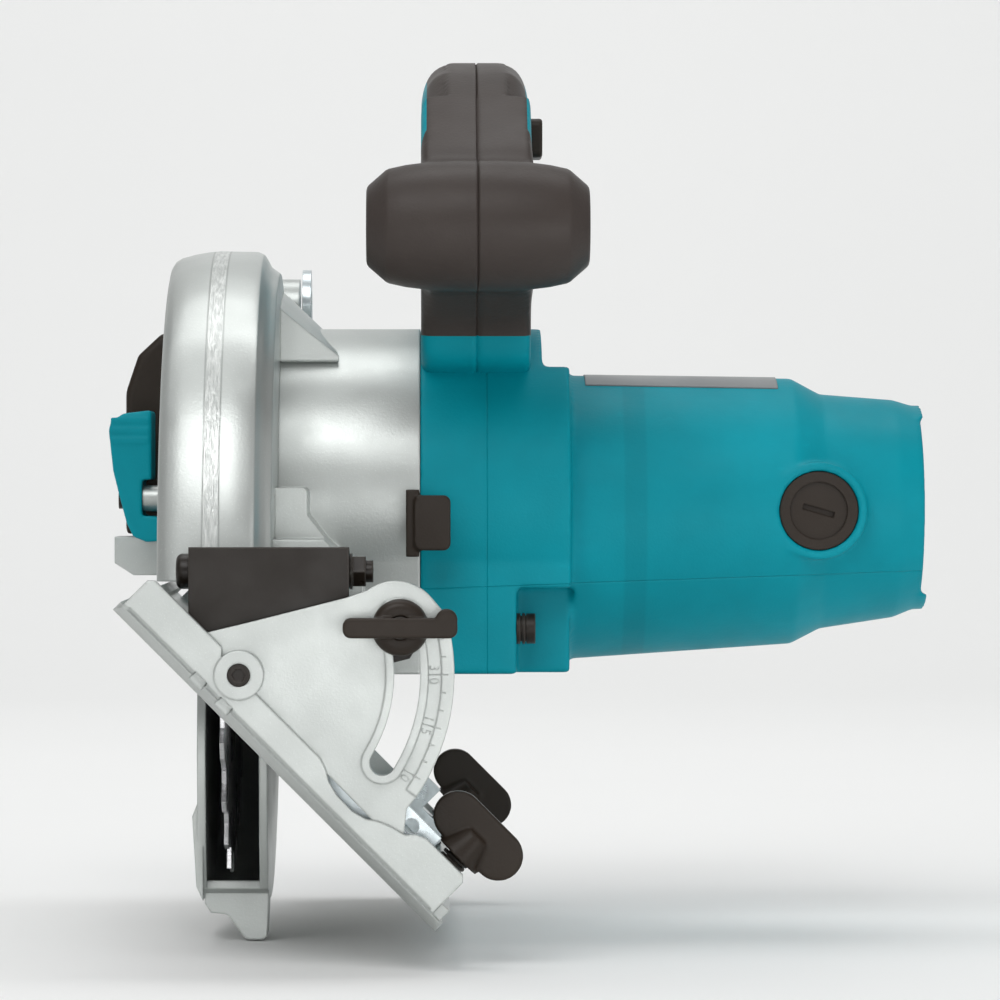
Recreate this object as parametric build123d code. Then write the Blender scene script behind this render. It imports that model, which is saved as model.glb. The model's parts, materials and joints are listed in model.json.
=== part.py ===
"""Hinged-base circular saw, 165 mm class, with its base tilted to the 45 degree stop.

Millimetres. While it is drawn, the origin is the spindle axis in the plane of the blade:
+X runs along the motor, +Y to the rear of the saw and +Z up.
save_all() then moves everything so that the origin is the middle of the underside of the whole box.
"""

import os
from math import acos, atan2, cos, degrees, hypot, pi, radians, sin, sqrt, tan

from build123d import *

# ---------------------------------------------------------------- driving dimensions
BLADE_D = 165.0
BLADE_T = 1.3
BLADE_BORE = 20.0
TEETH = 24
CASE_R = 97.5  # outside radius of the upper blade case
CASE_WALL = 3.0
CASE_X = (-16.8, 14.2)  # outside faces of the case
MOTOR_Y = 20.0  # the motor axis, from the spindle
MOTOR_Z = 22.5
BARREL_R = 49.8  # gear housing, round part
BARREL_Z = 25.8
BARREL_END_X = 54.5  # where the gear housing meets the motor housing
COLLAR_END_X = 97.5  # end of the motor housing's wide front section
SHELF_X = 89.7  # where the top of that section steps down behind the handle
SHELF_Z = 63.9
MOTOR_END_X = 200.0
WALL = 3.0  # plastic housing wall

GEAR_TEETH = 50
PINION_TEETH = 10

PIVOT_Y = -102.5  # depth pivot, an axis along X in front of the case
PIVOT_Z = 6.7
PIVOT_R = 3.0
HINGE_X = 6.6  # bevel hinge, an axis along Y
HINGE_Z = -20.6
HINGE_R = 3.05
SOLE_N = -11.8  # sole below the bevel hinge, square to the base
BASE_U = (-36.2, 85.5)  # left and right edges of the base, from the hinge
BASE_Y = (-120.0, 130.0)
BASE_T = 3.0
RIM_N = 2.0  # top of the base's rim, from the hinge
WINDOW_U = (-19.5, 21.5)
WINDOW_Y = (-92.0, 103.5)
BEVEL = 45.0

QUAD_R = 57.4  # outside radius of the bevel quadrant
SLOT_R = 44.8
SLOT_W = 6.9
BEVEL_BOLT_DEG = 16.5  # where the bevel clamp bolt sits, round the hinge
GUIDE_R = 193.5  # depth guide arc, about the depth pivot
GUIDE_X = (18.6, 21.2)
GUIDE_BOLT_DEG = -2.5
GUIDE_END_DEG = 23.8
KNOB_U = 76.3
KNOB_Y = (-100.0, 111.0)

GUARD_X = (-8.5, 11.4)
GUARD_R = 89.3
GUARD_WALL = 2.4
HUB_R = 18.5  # bearing box nose that the guard turns on
FIT = 0.08  # radial clearance of a running fit

HANDLE_X = 70.7  # centre plane of the handle
HANDLE_W = 32.0
GRIP_Y = -65.0  # front barrel grip
GRIP_Z = 101.6
GRIP_R = 18.1
GRIP_LEN = 62.0

BRUSH_X = 168.8
GAP = 0.3  # between pieces of different bodies

PARTS = {}


# ---------------------------------------------------------------- small helpers
def rod_x(r, x0, x1, y=0.0, z=0.0):
    """A cylinder along X."""
    return Pos((x0 + x1) / 2, y, z) * Rot(0, 90, 0) * Cylinder(r, x1 - x0)


def rod_y(r, y0, y1, x=0.0, z=0.0):
    """A cylinder along Y."""
    return Pos(x, (y0 + y1) / 2, z) * Rot(90, 0, 0) * Cylinder(r, y1 - y0)


def rod_z(r, z0, z1, x=0.0, y=0.0):
    """A cylinder along Z."""
    return Pos(x, y, (z0 + z1) / 2) * Cylinder(r, z1 - z0)


def ring_x(r_out, r_in, x0, x1, y=0.0, z=0.0):
    """A tube along X."""
    return rod_x(r_out, x0, x1, y, z) - rod_x(r_in, x0 - 1, x1 + 1, y, z)


def block(x0, x1, y0, y1, z0, z1):
    """A box between two corners."""
    centre = Pos((x0 + x1) / 2, (y0 + y1) / 2, (z0 + z1) / 2)
    return centre * Box(x1 - x0, y1 - y0, z1 - z0)


def side_plate(face, x0, x1):
    """A face drawn in Y and Z, made thick along X."""
    return extrude(Plane(origin=(x0, 0, 0), x_dir=(0, 1, 0), z_dir=(1, 0, 0)) * face, x1 - x0)


def front_plate(face, y0, y1):
    """A face drawn in X and Z, made thick along Y."""
    return extrude(Plane(origin=(0, y1, 0), x_dir=(1, 0, 0), z_dir=(0, -1, 0)) * face, y1 - y0)


def outline(points):
    """A filled polygon."""
    return make_face(Polyline(*points, close=True))


def turned(points):
    """A solid of revolution about the X axis, from (x, radius) points."""
    face = Plane.XZ * outline([(x, r) for x, r in points])
    return revolve(face, Axis.X, 360)


def hex_x(across, x0, x1, y, z):
    """A hexagonal prism along X."""
    return side_plate(Pos(y, z) * RegularPolygon(across / 2, 6, major_radius=False), x0, x1)


def polar(r, deg):
    """A point at radius r and an angle in degrees."""
    return r * cos(radians(deg)), r * sin(radians(deg))


def sector(r_in, r_out, deg0, deg1):
    """A flat piece of ring between two angles."""
    mid = (deg0 + deg1) / 2
    outer = ThreePointArc(polar(r_out, deg0), polar(r_out, mid), polar(r_out, deg1))
    inner = ThreePointArc(polar(r_in, deg1), polar(r_in, mid), polar(r_in, deg0))
    sides = [Line(outer @ 1, inner @ 0), Line(inner @ 1, outer @ 0)]
    return make_face([outer, sides[0], inner, sides[1]])


def arc_slot(radius, width, deg0, deg1):
    """A curved slot with round ends, its end centres at the two angles."""
    ends = [Pos(*polar(radius, d)) * Circle(width / 2) for d in (deg0, deg1)]
    return sector(radius - width / 2, radius + width / 2, deg0, deg1) + ends[0] + ends[1]


def to_base(shape):
    """From the base's own flat frame (u, y, n about the hinge) to the tilted rest place."""
    return Location((HINGE_X, 0, HINGE_Z), (0, BEVEL, 0)) * shape


def keep(name, *shapes):
    """Store one node. Several shapes stay separate solids."""
    solids = []
    for shape in shapes:
        solids += list(shape.solids())
    PARTS[name] = solids[0] if len(solids) == 1 else Compound(children=solids)


# ---------------------------------------------------------------- blade case and gear housing
def shell_profile(inset):
    """Half section of the blade case as (x, radius), with rounded shoulders."""
    x0, r = CASE_X[0] + inset, CASE_R - inset
    left = [(x0, r - 6.0), (x0 + 0.3, r - 4.4), (x0 + 1.2, r - 3.0), (x0 + 2.8, r - 2.0), (x0 + 6.5, r - 1.0),
            (x0 + 10.5, r - 0.3)]
    if inset:
        right = [(7.0, r - 0.2), (8.6, r - 1.6), (12.0, 89.7), (12.0, 0)]
    else:
        right = [(7.8, r - 0.2), (9.6, r - 1.0), (10.6, r - 2.6), (11.6, r - 4.6), (13.0, r - 5.6),
                 (CASE_X[1], r - 6.5), (CASE_X[1], 0)]
    return [(x0, 0), *left, (-3.0, r), *right]


OUTLET_R = 13.9  # bore of the dust outlet
OUTLET_X = -23.5
CHUTE = ((-37.8, 14.2), (-37.8, 6.3), (-32.1, 2.6), (-14.0, 2.6), (-14.0, 14.2))
LEVER_SLOT_R = 44.0


def blade_case():
    """Upper blade case: a half-round cast shell, open below, with its cast lugs."""
    upper = block(-60, 60, -120, 120, 3.8, 120)
    shell = turned(shell_profile(0)) & upper
    cavity = turned(shell_profile(CASE_WALL)) & block(-60, 60, -120, 120, -1, 120)
    lugs = [
        rod_x(9.5, CASE_X[1] - 2.2, GUIDE_X[0] - GAP, *bolt_place()),
        side_plate(outline([(70, 6), (96, 6), (100, -9), (86, -11), (72, -3)]), 11.9, CASE_X[1]),
        rod_x(8.2, CASE_X[1] - 2.0, GUIDE_X[0] - GAP, 56, 83.5),
        block(CASE_X[1] - 2.1, CASE_X[1] + 0.9, 45, 60, 70, 86),
        front_plate(outline(CHUTE), 58, 84),
    ]
    case = shell
    for lug in lugs:
        case += lug
    case -= cavity
    case -= side_plate(arc_slot(LEVER_SLOT_R, 9, 32, 132), CASE_X[0] - 1, CASE_X[0] + 4)
    case -= rod_x(30.4, 11, 15)
    case -= rod_x(17.0, CASE_X[0] - 1, CASE_X[0] + 4)
    case -= rod_x(13, CASE_X[0] - 4, CASE_X[0] + 5, 66, 38)
    y, z = bolt_place()
    case -= rod_x(3.05, 5, 25, y, z)
    case -= rod_x(5.3, 5, 13.85, y, z)
    for sy, sz in CASE_SCREWS:
        case -= rod_x(2.2, 9, 16, sy, sz) + rod_x(3.65, 9, 12.95, sy, sz)
    return case


def bolt_place():
    """Y and Z of the depth clamp bolt."""
    y, z = polar(GUIDE_R, GUIDE_BOLT_DEG)
    return PIVOT_Y + y, PIVOT_Z + z


CASE_SCREWS = [(-24, 36), (22, 62), (56, 34), (36, 8)]
HOUSING_SCREWS = [(-22, -11.1), (57, 0.0), (-12, 56), (51, 56)]


def housing_section(grow=0.0):
    """Section of the gear housing across X: the motor circle joined to the gear circle."""
    motor = Pos(MOTOR_Y, BARREL_Z) * Circle(BARREL_R + grow)
    corner = Pos(-11, 7) * Rectangle(31 + 2 * grow, 62 + 2 * grow)
    return motor + corner


def gear_section(grow=0.0):
    """Section of the gear chamber across X: the motor circle joined to the gear circle."""
    return housing_section(grow) + Circle(28.6 + grow)


def gear_housing():
    """Cast gear housing: barrel, gusset, front arm with the depth pivot lug."""
    start = CASE_X[1]
    body = side_plate(housing_section(), start, BARREL_END_X) + side_plate(gear_section(), start, 38.5)
    body -= side_plate(housing_section(-4), 38.5, BARREL_END_X + 1)
    gusset = loft([
        Plane(origin=(0, -12, 0), x_dir=(1, 0, 0), z_dir=(0, -1, 0))
        * outline([(start, 65.6), (start, 80.8), (17.5, 78), (31.2, 67.0), (31.2, 65.6)]),
        Plane(origin=(0, 22, 0), x_dir=(1, 0, 0), z_dir=(0, -1, 0))
        * outline([(start, 66), (start, 86.5), (16.5, 84.5), (26, 75.5), (26, 66)]),
    ])
    shoulder = [(28.4, 14.9), (23.2, 21.7), (23.2, 28.2), (22.2, 29.2), (start, 29.2)]
    arm_shape = outline([(start, 0.5), (31.6, 0.5), (31.6, 12), *shoulder])
    arm = front_plate(arm_shape, -84, -20)
    arm -= block(0, 60, -90, -58, 15, 40)
    lug = block(-3.4, 32, -102.5, -95.5, 1.2, 12) + rod_x(5.7, -3.4, 32, PIVOT_Y, PIVOT_Z)
    lug += block(15.5, 31.6, -100, -80, 1.5, 12)
    pad = front_plate(outline([(start, 12), (28.4, 12), *shoulder]), -40, -20)
    body += gusset + arm + lug + pad
    body -= side_plate(gear_section(-2.2), start + 4, 35.5)
    body += rod_x(15.5, 35.5, 49, MOTOR_Y, MOTOR_Z) + rod_x(13.5, 35.5, 46.5)
    body -= rod_x(13.05, 40, 60, MOTOR_Y, MOTOR_Z) + rod_x(9.0, 30, 60, MOTOR_Y, MOTOR_Z)
    body -= rod_x(11.05, 38.5, 60) + rod_x(8.2, 34, 60)
    body -= rod_x(CASE_R + 0.05, -30, start)
    body -= rod_x(PIVOT_R + 0.02, -10, 40, PIVOT_Y, PIVOT_Z)
    body -= rod_x(30.4, 10, 18.5)
    for y, z in CASE_SCREWS:
        body -= rod_x(2.2, 10, 20, y, z)
    for y, z in HOUSING_SCREWS:
        body += rod_x(5.2, 38.4, BARREL_END_X, y, z) & side_plate(housing_section(), 38.4, BARREL_END_X)
        body -= rod_x(2.2, 38, BARREL_END_X + 1, y, z)
    return body


def bearing_box():
    """Retainer that holds the blade-side bearing, with the nose the guard turns on."""
    box = turned([(7.4, 0), (7.4, HUB_R), (14.4, HUB_R), (14.4, 30.2), (18.2, 30.2), (18.2, 0)])
    box -= rod_x(16.02, 9.0, 20)
    box -= rod_x(9.0, 5, 12)
    box -= ring_x(HUB_R + 1, HUB_R - 0.8, 7.4 + 0.5, 7.4 + 1.3)
    return box


def spindle_bearings():
    """Two ball bearings, drawn as their outer and inner rings."""
    rings = []
    for x0, x1, r_out, r_in in ((9.0, 18.0, 16.0, 7.5), (38.5, 46.5, 11.0, 5.0)):
        mid = (r_out + r_in) / 2
        rings.append(ring_x(r_out, mid + 1.6, x0, x1))
    rings.append(ring_x(13.0, 9.6, 40, 49, MOTOR_Y, MOTOR_Z))
    return rings


def dust_nozzle():
    """Black elbow that takes the chips from the rear of the case."""
    x_wall = CASE_X[0] - 0.05
    hood_shape = [(x_wall, 15), (x_wall, 77), (-24, 75.5), (-31, 69), (-34.7, 58), (-34.7, 15)]
    hood = front_plate(outline(hood_shape), 62, 96)
    hood = hood - front_plate(outline([(x_wall + 1, 18), (x_wall + 1, 73), (-24, 72), (-31.7, 57),
                                       (-31.7, 18)]), 65, 93)
    tube = rod_y(16.5, 84, 136, OUTLET_X, 38) - block(x_wall, 20, 60, 97.5, -10, 90)
    tube -= front_plate(outline([(x_wall, 0), (x_wall, 14.4), (-60, 14.4), (-60, 0)]), 50, 84.5)
    bore = rod_y(OUTLET_R, 86, 140, OUTLET_X, 38)
    nozzle = hood + tube - (bore & block(-60, x_wall - 2.5, 84, 97, 17, 90))
    nozzle -= rod_y(OUTLET_R, 99, 140, OUTLET_X, 38)
    nozzle -= rod_y(10.5, 92, 100, -28, 38) & block(-44, x_wall - 3, 90, 100, 0, 80)
    return nozzle


# ---------------------------------------------------------------- motor housing and motor
def tube_loft(stations, grow=0.0):
    """A smooth tube through circles given as (x, centre z, radius)."""
    body = None
    for (x0, z0, r0), (x1, z1, r1) in zip(stations, stations[1:]):
        faces = []
        for x, z, r in ((x0, z0, r0), (x1, z1, r1)):
            plane = Plane(origin=(x, MOTOR_Y, z), x_dir=(0, 1, 0), z_dir=(1, 0, 0))
            faces.append(plane * Circle(r + grow))
        piece = loft(faces)
        body = piece if body is None else body + piece
    return body


MOTOR_TUBE = [
    (SHELF_X, 20.4, 43.4),
    (COLLAR_END_X, 20.4, 41.6),
    (163.0, 22.2, 38.9),
    (171.5, 22.1, 34.4),
    (193.0, 22.9, 31.9),
    (MOTOR_END_X, 23.3, 29.4),
]


def motor_housing():
    """Moulded motor housing: wide front collar, tapering tube and closed end with air slots."""
    collar = side_plate(housing_section(), BARREL_END_X + 0.05, COLLAR_END_X)
    collar -= block(SHELF_X, COLLAR_END_X + 1, -60, 100, SHELF_Z, 90)
    shell = collar + tube_loft(MOTOR_TUBE)
    hollow = side_plate(housing_section(-WALL), BARREL_END_X - 1, COLLAR_END_X - WALL)
    hollow -= block(SHELF_X - WALL, COLLAR_END_X, -60, 100, SHELF_Z - WALL, 90)
    inner = [(x if x < MOTOR_END_X else x - 3.0, z, r - WALL) for x, z, r in MOTOR_TUBE]
    shell -= hollow
    shell -= tube_loft(inner)
    pocket = side_plate(outline([(-40, -30), (-40, 0.5), (-13, 0.5), (-13, -30)]), 82, COLLAR_END_X + 1)
    shell += side_plate(outline([(-40, -30), (-40, 3), (-9.5, 3), (-9.5, -30)]), 79, COLLAR_END_X - 0.5) \
        & side_plate(housing_section(), 79, COLLAR_END_X)
    shell -= pocket
    for y, z in HOUSING_SCREWS[1:]:
        shell += rod_x(5.2, BARREL_END_X + 0.05, 90, y, z) & side_plate(housing_section(), 50, 90)
        shell -= rod_x(4.6, 82, 100, y, z)
    for y, z in HOUSING_SCREWS:
        shell -= rod_x(2.2, 50, 90, y, z)
    shell -= block(55.7, 60.8, -40, -20, 14.7, 23.3)
    for side in (-1, 1):
        y_tip = MOTOR_Y + side * 38.0
        y_in = MOTOR_Y + side * 24.0
        shell += rod_y(14.0, min(y_tip, y_in), max(y_tip, y_in), BRUSH_X, MOTOR_Z)
        far = MOTOR_Y + side * 50
        near = MOTOR_Y + side * 13
        shell -= rod_y(6.2, min(near, far), max(near, far), BRUSH_X, MOTOR_Z)
        seat = MOTOR_Y + side * 33.0
        shell -= rod_y(11.4, min(seat, far), max(seat, far), BRUSH_X, MOTOR_Z)
    hub = ring_x(14.0, 11.05, 184, MOTOR_END_X - 2.9, MOTOR_Y, MOTOR_Z)
    end_lips = block(197, 200.9, 0, 40, 49.2, 54) + block(197, 202.0, 0, 40, -8, -1.8)
    shell += hub + (end_lips & ring_x(29.9, 25.0, 190, 210, MOTOR_Y, 23.3))
    for k in range(9):
        y = MOTOR_Y - 22 + 5.5 * k
        if abs(y - MOTOR_Y) < 1:
            continue
        reach = sqrt(24.0 ** 2 - (y - MOTOR_Y) ** 2)
        inner_reach = sqrt(max(15.5 ** 2 - (y - MOTOR_Y) ** 2, 0))
        if inner_reach > 0:
            shell -= block(196, 203, y - 1.2, y + 1.2, MOTOR_Z + inner_reach, MOTOR_Z + reach)
            shell -= block(196, 203, y - 1.2, y + 1.2, MOTOR_Z - reach, MOTOR_Z - inner_reach)
        else:
            shell -= block(196, 203, y - 1.2, y + 1.2, MOTOR_Z - reach, MOTOR_Z + reach)
    return shell


def label_plate():
    """Plain label on top of the motor tube."""
    skin = tube_loft(MOTOR_TUBE[1:3], 0.35) - tube_loft(MOTOR_TUBE[1:3], 0.0)
    return skin & block(102.5, 158.5, 4, 34, 40, 70)


def armature():
    """Shaft, pinion and laminated core of the motor, as one turned piece."""
    y, z = MOTOR_Y, MOTOR_Z
    shaft = rod_x(6.0, 36, 176, y, z) + rod_x(5.0, 176, 196, y, z)
    core = rod_x(22.6, 94, 132, y, z)
    for k in range(12):
        dy, dz = polar(22.0, 30 * k)
        core -= rod_x(1.6, 93, 133, y + dy, z + dz)
    pinion = side_plate(Pos(y, z) * Rot(0, 0, pinion_phase()) * gear_face(PINION_TEETH), 21, 36.5)
    return shaft + core + pinion


CENTRES = hypot(MOTOR_Y, MOTOR_Z)
MODULE = 2 * CENTRES / (GEAR_TEETH + PINION_TEETH)
PRESSURE = radians(25)


def gear_face(teeth):
    """Gear outline with involute flanks and working backlash."""
    pitch_r = MODULE * teeth / 2
    base_r = pitch_r * cos(PRESSURE)
    tip_r = pitch_r + MODULE * (0.95 if teeth == PINION_TEETH else 0.7)
    root_r = pitch_r - 1.15 * MODULE
    half_pitch = (pi / 2 - 0.28) / teeth
    spread = tan(PRESSURE) - PRESSURE
    points = []
    for k in range(teeth):
        centre = 2 * pi * k / teeth
        flank = []
        start_r = max(base_r, root_r)
        for step in range(4):
            r = start_r + (tip_r - start_r) * step / 3
            angle = acos(min(1.0, base_r / r))
            flank.append((r, half_pitch + spread - (tan(angle) - angle)))
        if root_r < base_r:
            flank.insert(0, (root_r, flank[0][1]))
        for r, a in flank:
            points.append((r * cos(centre - a), r * sin(centre - a)))
        for r, a in reversed(flank):
            points.append((r * cos(centre + a), r * sin(centre + a)))
    return outline(points)


def mesh_line():
    """Angle of the line of centres, from the spindle to the motor axis, in degrees."""
    return degrees(atan2(MOTOR_Z, MOTOR_Y))


def pinion_phase():
    """Turn that puts a pinion gap on the line of centres."""
    return mesh_line() + 180 + 180 / PINION_TEETH


def helical_gear():
    """Gear on the spindle, a tooth on the line of centres."""
    gear = side_plate(Rot(0, 0, mesh_line()) * gear_face(GEAR_TEETH), 22, 33)
    gear -= rod_x(7.52, 20, 35)
    gear -= ring_x(20, 11, 21, 24)
    return gear


def windings():
    """Armature end windings and the bound coil at each end of the core."""
    y, z = MOTOR_Y, MOTOR_Z
    return [ring_x(19.5, 6.05, 84, 93.9, y, z), ring_x(19.0, 6.05, 132.1, 146, y, z)]


def commutator():
    """Commutator with its segments cut by slots."""
    y, z = MOTOR_Y, MOTOR_Z
    drum = ring_x(11.5, 6.05, 158, 175, y, z)
    for k in range(24):
        cut = Pos(167.5, y, z) * Rot(15 * k, 0, 0) * Pos(0, 0, 11.3) * Box(19, 0.5, 1.2)
        drum -= cut
    return drum


def fan():
    """Radial cooling fan on the armature shaft."""
    y, z = MOTOR_Y, MOTOR_Z
    disc = ring_x(35.0, 6.05, 68.5, 70.5, y, z) + ring_x(9.0, 6.05, 60, 70.5, y, z)
    for k in range(16):
        disc += Pos(65.2, y, z) * Rot(22.5 * k, 0, 0) * Pos(0, 0, 24) * Rot(0, 0, 18) * Box(7.4, 1.4, 20)
    return disc


def stator():
    """Laminated field core, as a ring with two flats."""
    y, z = MOTOR_Y, MOTOR_Z
    core = ring_x(35.0, 23.3, 94, 132, y, z)
    core -= block(90, 140, y - 40, y - 33.0, z - 12, z + 12)
    core -= block(90, 140, y + 33.0, y + 40, z - 12, z + 12)
    return core


def field_coils():
    """Coil ends that stand out of both ends of the field core."""
    y, z = MOTOR_Y, MOTOR_Z
    coils = []
    for x0, x1 in ((84.5, 93.9), (132.1, 143)):
        full = ring_x(32.5, 24.0, x0, x1, y, z)
        gap = block(x0 - 1, x1 + 1, y - 40, y + 40, z - 5, z + 5)
        coils.append(full - gap)
    return coils


def baffle_plate():
    """Ring that guides the fan's air."""
    return ring_x(37.6, 24.5, 76, 78, MOTOR_Y, MOTOR_Z)


def brush_gear():
    """Holders, carbons and screw caps of the two brushes."""
    holders, carbons, caps = [], [], []
    for side in (-1, 1):
        def span(a, b):
            """Y limits from two distances off the motor axis."""
            ends = (MOTOR_Y + side * a, MOTOR_Y + side * b)
            return min(ends), max(ends)

        holder = rod_y(6.15, *span(13.2, 32.6), BRUSH_X, MOTOR_Z)
        y0, y1 = span(12, 34)
        holder -= block(BRUSH_X - 3.3, BRUSH_X + 3.3, y0, y1, MOTOR_Z - 2.6, MOTOR_Z + 2.6)
        holders.append(holder)
        y0, y1 = span(11.62, 26)
        carbons.append(block(BRUSH_X - 3.2, BRUSH_X + 3.2, y0, y1, MOTOR_Z - 2.5, MOTOR_Z + 2.5))
        cap = rod_y(11.2, *span(33.2, 37.4), BRUSH_X, MOTOR_Z)
        cap -= rod_y(8.2, *span(36.4, 39), BRUSH_X, MOTOR_Z)
        y0, y1 = span(35.2, 39)
        slot = block(-4.6, 4.6, y0, y1, -0.8, 0.8)
        cap -= Pos(BRUSH_X, 0, MOTOR_Z) * Rot(0, 16, 0) * slot
        caps.append(cap)
    return holders, carbons, caps


# ---------------------------------------------------------------- handle
def handle_face():
    """Side outline of the handle loop, with its hand gap, in Y and Z."""
    outer = [(-50, 113), (-30, 134), (-4, 149.5), (22, 153.9), (50, 150), (84, 136), (116, 113), (138, 88),
             (143, 66), (132, 51), (104, 42), (74, 31), (64, 17), (20, 10), (0, 30), (-21, 58), (-26, 74), (-46, 90)]
    loop = outline(outer)
    loop = fillet(loop.vertices(), 5)
    gap = [(-20, 84), (-12, 103), (8, 117), (34, 119), (64, 110), (92, 94), (106, 78), (104, 68), (88, 60),
           (70, 62), (54, 74), (30, 82), (4, 82)]
    hand = fillet(outline(gap).vertices(), 4)
    return loop - hand


def grip_profile(inset=0.0):
    """Half section of the front barrel grip as (x from its middle, radius)."""
    r = GRIP_R - inset
    half = GRIP_LEN / 2 - inset
    near = [(half, r - 7.6), (half - 0.7, r - 6.6), (half - 4.6, r - 3.2), (half - 5.6, r - 2.6),
            (half - 10, r - 1.5), (half - 17, r - 0.5), (half - 25, r - 0.1)]
    return [(-half, 0), *[(-x, y) for x, y in near], (0, r), *reversed(near), (half, 0)]


def handle_parts():
    """Two moulded halves, and the soft grip moulded over each."""
    face = handle_face()
    x0, x1 = HANDLE_X - HANDLE_W / 2, HANDLE_X + HANDLE_W / 2
    loop = side_plate(face, x0, x1)
    loop -= side_plate(housing_section(0.05), x0 - 1, x1 + 1)
    neck = side_plate(outline([(-60, 90), (-34, 84), (-34, 118), (-60, 116)]), x0 + 0.5, x1 - 0.5)
    barrel = Pos(HANDLE_X, GRIP_Y, GRIP_Z) * turned(grip_profile())
    core = Pos(HANDLE_X, GRIP_Y, GRIP_Z) * turned(grip_profile(2.5))
    band_area = outline([(-70, 62), (-70, 170), (160, 170), (160, 92), (60, 128), (-5, 132), (-28, 112),
                         (-16, 84), (-14, 70), (-24, 69)])
    band = loop & side_plate(band_area, HANDLE_X - 14.4, HANDLE_X + 14.4)
    slim = side_plate(offset(face, -2.6), HANDLE_X - 11.8, HANDLE_X + 11.8)
    band -= slim
    soft = barrel + (neck & side_plate(band_area, 0, 200)) + band
    soft -= core
    neck_core = side_plate(outline([(-64, 94), (-30, 88), (-30, 114), (-64, 113)]), x0 + 3, x1 - 3)
    soft -= neck_core
    hard = (loop - soft) + (core - soft) + neck_core
    cavity = block(HANDLE_X - 9, HANDLE_X + 9, 6, 56, 116, 143)
    mouth = block(HANDLE_X - 8.2, HANDLE_X + 8.2, 10, 46, 100, 130)
    wire = block(HANDLE_X - 4, HANDLE_X + 4, 50, 100, 121, 127)
    button_hole = block(80, 95, 2, 18.6, 124.4, 137)
    inside = cavity + mouth + button_hole + wire
    hard -= inside
    soft -= inside
    hard -= rod_y(6.0, 124, 160, HANDLE_X, 62) + rod_y(8.2, 141.2, 160, HANDLE_X, 62)
    for y, z in HANDLE_SCREWS:
        hole = rod_x(2.1, x0 + 6, x1 + 1, y, z) + rod_x(4.2, x1 - 4, x1 + 1, y, z)
        hard -= hole
        soft -= hole
    left = block(-10, HANDLE_X - 0.03, -200, 300, -50, 200)
    right = block(HANDLE_X + 0.03, 150, -200, 300, -50, 200)
    return hard & left, hard & right, soft & left, soft & right


HANDLE_SCREWS = [(-40, 101), (76, 122), (118, 92), (118, 60), (84, 46)]


def trigger():
    """Trigger with a finger curve, under the top bar of the handle."""
    shape = Polyline((12.5, 124), (12.5, 112), (15, 104), (22, 100.6), (31, 103), (38, 110), (43.5, 117),
                     (43.5, 124), close=True)
    body = side_plate(make_face(shape), HANDLE_X - 7.8, HANDLE_X + 7.8)
    return body


def switch_body():
    """Switch inside the handle, above the trigger."""
    return block(HANDLE_X - 8.6, HANDLE_X + 8.6, 21, 54, 130.6, 142.6)


def lock_off_button():
    """Side button that frees the trigger."""
    head = block(84.0, 90.0, 2.6, 18.0, 125.0, 136.4)
    head = fillet(head.edges().filter_by(Axis.X), 2.5)
    head = fillet(head.faces().sort_by(Axis.X)[-1].edges(), 0.9)
    return head


def cord_gland():
    """Round inlet at the rear of the handle, with no cord in it."""
    gland = rod_y(5.9, 126, 141, HANDLE_X, 62) + rod_y(8.0, 141.5, 147, HANDLE_X, 62)
    gland += rod_y(5.9, 140, 142, HANDLE_X, 62)
    return gland - rod_y(3.6, 120, 150, HANDLE_X, 62)


# ---------------------------------------------------------------- spindle and blade
def spindle():
    """Spindle with its flange seat, gear seat and tapped front end."""
    shaft = turned([(1.2, 0), (1.2, 6.0), (5.6, 6.0), (5.6, 7.45), (34, 7.45), (34, 4.95), (46, 4.95), (46, 0)])
    shaft -= rod_x(4.0, 0, 18)
    return shaft


def blade():
    """Saw blade with pointed teeth and its arbor hole."""
    r = BLADE_D / 2
    points = []
    for k in range(TEETH):
        a = -360.0 * k / TEETH
        points.append(polar(r, a))
        points.append(polar(r - 6.0, a - 0.8))
        points.append(polar(r - 7.6, a - 3.2))
        points.append(polar(r - 6.0, a - 6.5))
        points.append(polar(r - 1.5, a - 10.5))
    face = outline(list(reversed(points))) - Circle(BLADE_BORE / 2)
    for k in range(4):
        face -= Rot(0, 0, 90 * k + 20) * arc_slot(r - 24, 1.4, 0, 26)
    return side_plate(face, -BLADE_T / 2, BLADE_T / 2)


def flanges():
    """Inner and outer blade flanges."""
    inner = turned([(-0.4, 0), (-0.4, 9.97), (0.68, 9.97), (0.68, 19), (3.0, 19), (5.5, 12), (5.5, 0)])
    inner -= rod_x(6.02, -2, 7)
    outer = turned([(-4.4, 0), (-4.4, 10), (-3.2, 17.5), (-0.68, 17.5), (-0.68, 12), (-1.6, 10.5), (-1.6, 0)])
    outer -= rod_x(4.05, -6, 2)
    return inner, outer


def blade_bolt():
    """Socket head bolt in the end of the spindle."""
    bolt = rod_x(3.98, -4.45, 16) + rod_x(6.5, -11.4, -4.45)
    return bolt - hex_x(6.0, -12, -7.5, 0, 0)


# ---------------------------------------------------------------- lower guard
NOSE = [(-6.9, -86.5), (-6.9, -89.6), (-5.2, -92.2), (-1.2, -92.6), (0.0, -93.2), (4.3, -99.3), (5.7, -99.9),
        (9.7, -99.9), (10.8, -98.9), (11.3, -88.0), (11.3, -84.5), (4.0, -86.4)]
GUARD_DEG = (-108.0, 4.0)  # from the nose, round below the spindle, to the rear edge


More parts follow.
